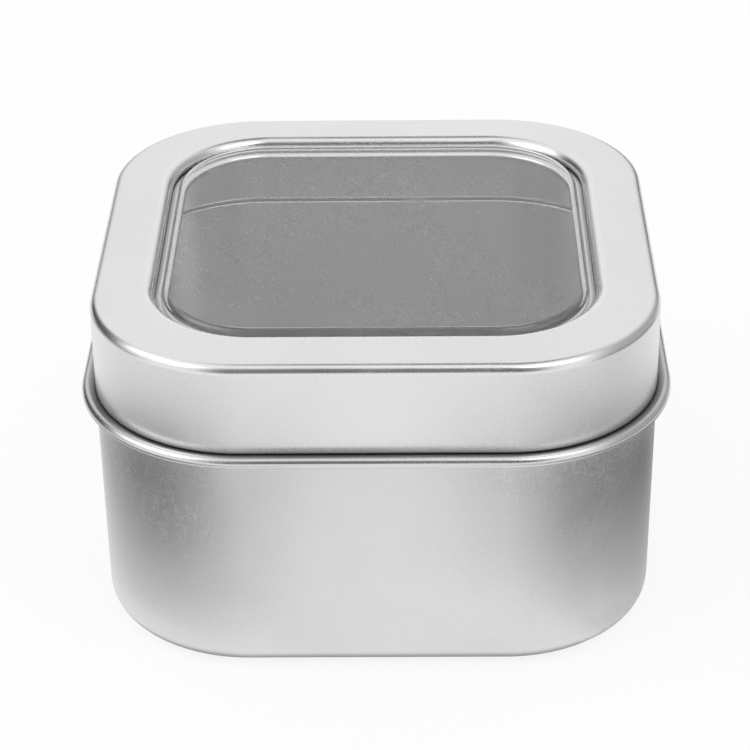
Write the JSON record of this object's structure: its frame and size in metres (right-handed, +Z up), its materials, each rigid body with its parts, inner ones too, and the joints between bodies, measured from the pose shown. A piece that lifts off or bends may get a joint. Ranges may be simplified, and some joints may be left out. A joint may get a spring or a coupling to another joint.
{
  "type": "window lid tin",
  "caption": "Square tinplate box with wide rounded corners, a folded flange and a slip lid that holds a clear raised window.",
  "frame": {"origin": "middle of the face that the tin stands on", "axes": "+Z up, the way the lid lifts off; +X and +Y square to the side walls, with -Y the wall that the picture shows"},
  "size_m": [0.0796, 0.0796, 0.0472],
  "materials": {
    "tinplate_body": "satin tinplate",
    "tinplate_cover": "satin tinplate",
    "clear_pane": "clear, glossy",
    "tinplate_retainer": "satin tinplate"
  },
  "bodies": {
    "tin": {"tin_body": "tinplate_body"},
    "lid": {"lid_cover": "tinplate_cover", "window_pane": "clear_pane", "window_retainer": "tinplate_retainer"}
  },
  "joints": [
    {"name": "lid_lift", "type": "slide", "parent": "tin", "child": "lid", "axis": [0, 0, 1], "range_m": [0, 0.03]}
  ]
}
